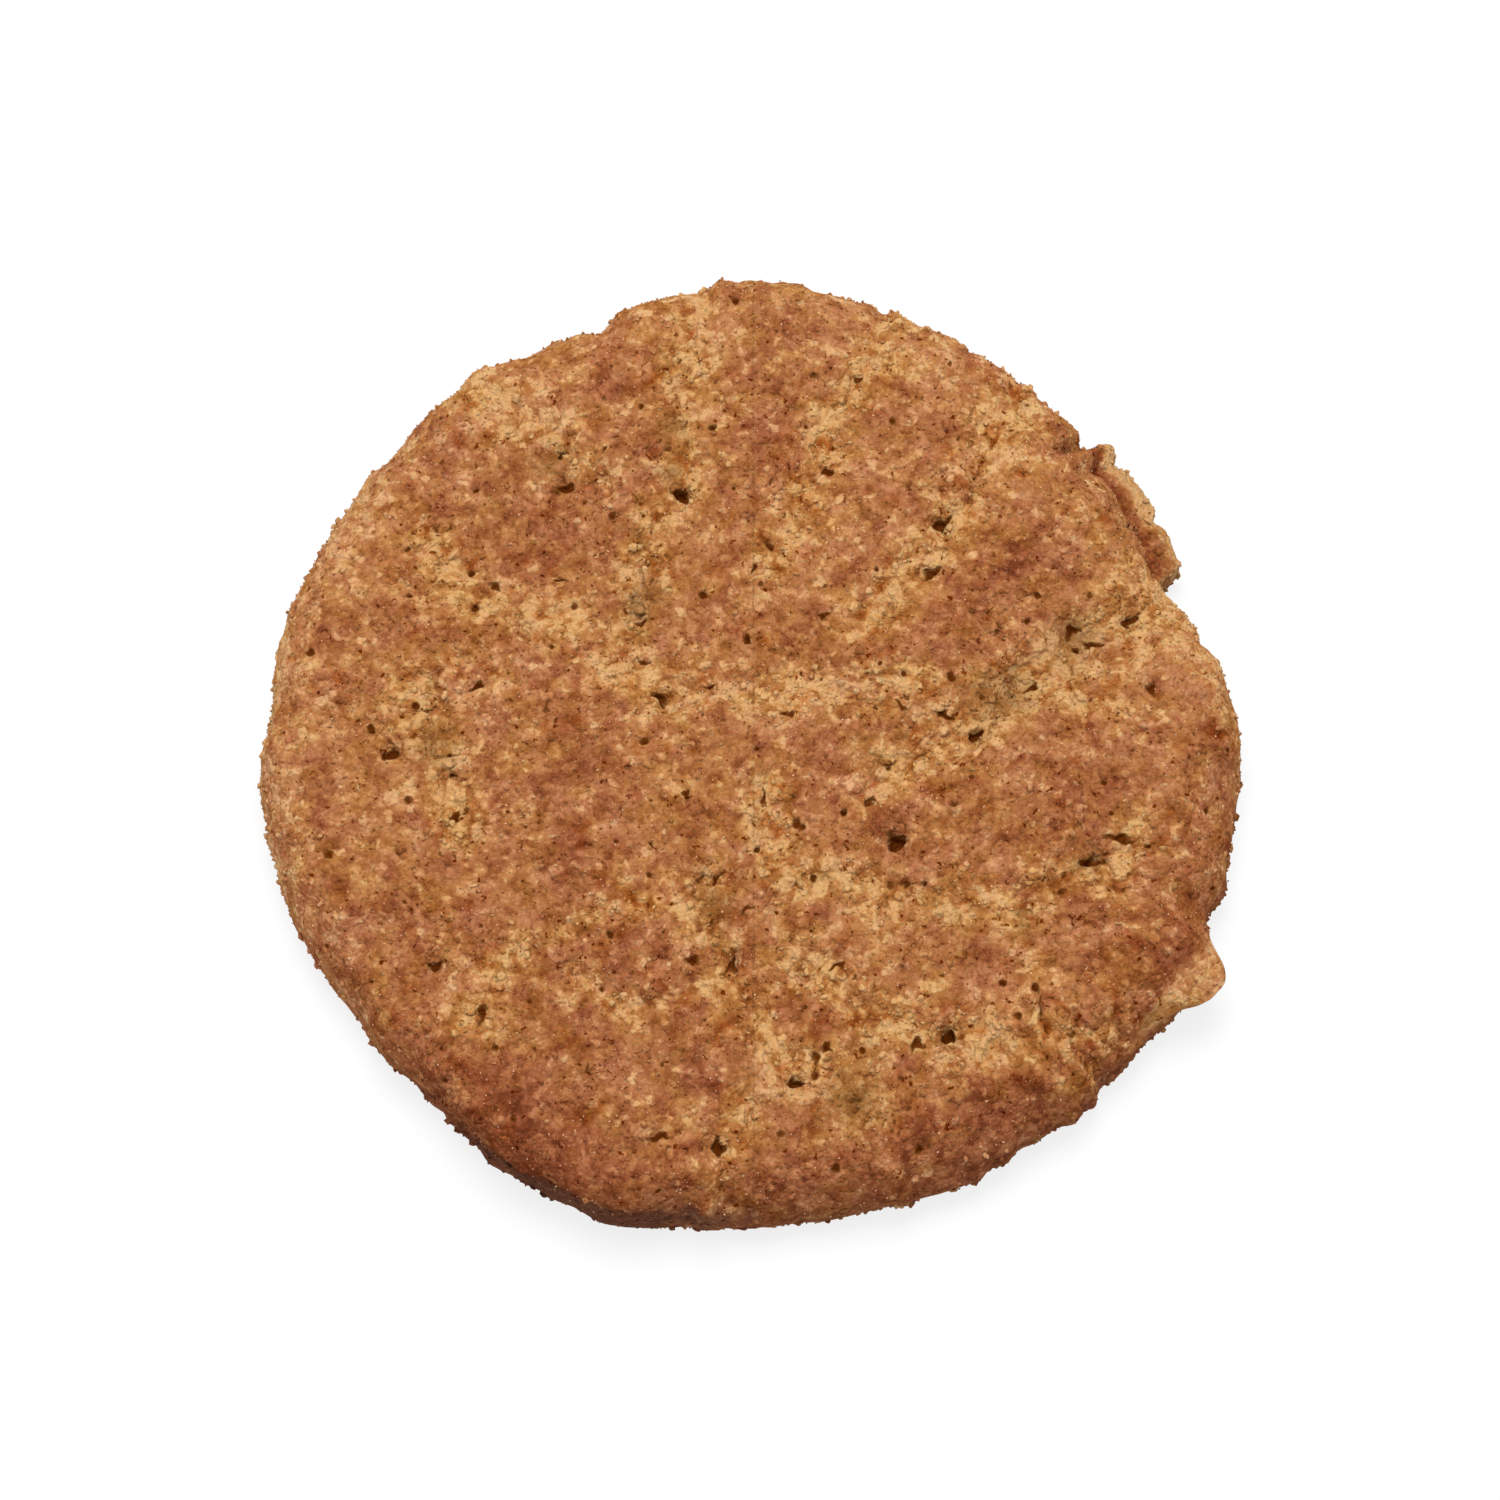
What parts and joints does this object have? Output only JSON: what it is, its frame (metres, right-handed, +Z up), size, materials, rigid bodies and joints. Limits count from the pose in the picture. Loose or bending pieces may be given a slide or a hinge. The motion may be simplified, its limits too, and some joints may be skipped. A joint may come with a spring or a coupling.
{
  "type": "snickerdoodle",
  "caption": "Round flat baked cookie with a cracked, crumbly cinnamon-brown top, a rounded edge and a flat sole; served or stacked as food.",
  "frame": {"origin": "middle of the cookie's footprint, on the surface that its flat sole rests on", "axes": "+Z up through the thickness; +Y towards the top of the picture and +X towards its right"},
  "size_m": [0.0852, 0.0866, 0.0112],
  "materials": {
    "baked_dough": "matte crumbly baked dough, toasted brown with paler crumb in its cracks"
  },
  "bodies": {
    "root": {"cookie": "baked_dough"}
  },
  "joints": []
}
